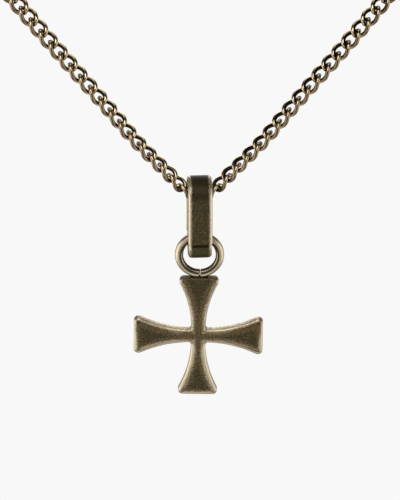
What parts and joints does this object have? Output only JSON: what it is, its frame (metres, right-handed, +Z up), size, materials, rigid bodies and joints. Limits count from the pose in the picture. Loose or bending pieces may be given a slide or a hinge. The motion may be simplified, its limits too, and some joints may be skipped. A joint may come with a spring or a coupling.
{
  "type": "cross pattee pendant on a curb chain",
  "caption": "Cast cross with flared arms and a soldered jump ring, hung by a closed strap bail on a curb-link necklace chain.",
  "frame": {"origin": "the clasp's centre, where the necklace lies on the nape", "axes": "+Z up, -Y towards the front where the pendant hangs, +X to the right as seen from the front"},
  "size_m": [0.1274, 0.1342, 0.1206],
  "materials": {
    "cross_brass": "antique brass, dark olive patina in the faces, edges worn bright",
    "bail_brass": "antique brass, dark olive patina on the strap, edges worn bright",
    "chain_brass": "antique brass wire, bright on the high sides and dark between the links",
    "clasp_brass": "antique brass, plain and softly worn"
  },
  "bodies": {
    "necklace": {"curb_chain_left": "chain_brass", "curb_chain_right": "chain_brass", "clasp": "clasp_brass", "end_ring": "clasp_brass"},
    "bail": {"bail": "bail_brass"},
    "cross": {"cross": "cross_brass"}
  },
  "joints": [
    {"name": "bail_swing", "type": "hinge", "parent": "necklace", "child": "bail", "pos_m": [0, -0.128, -0.07245], "axis": [1, 0, 0], "range_deg": [-60, 60]},
    {"name": "cross_swing", "type": "hinge", "parent": "bail", "child": "cross", "pos_m": [0, -0.128, -0.086], "axis": [0, 1, 0], "range_deg": [-75, 75]}
  ]
}
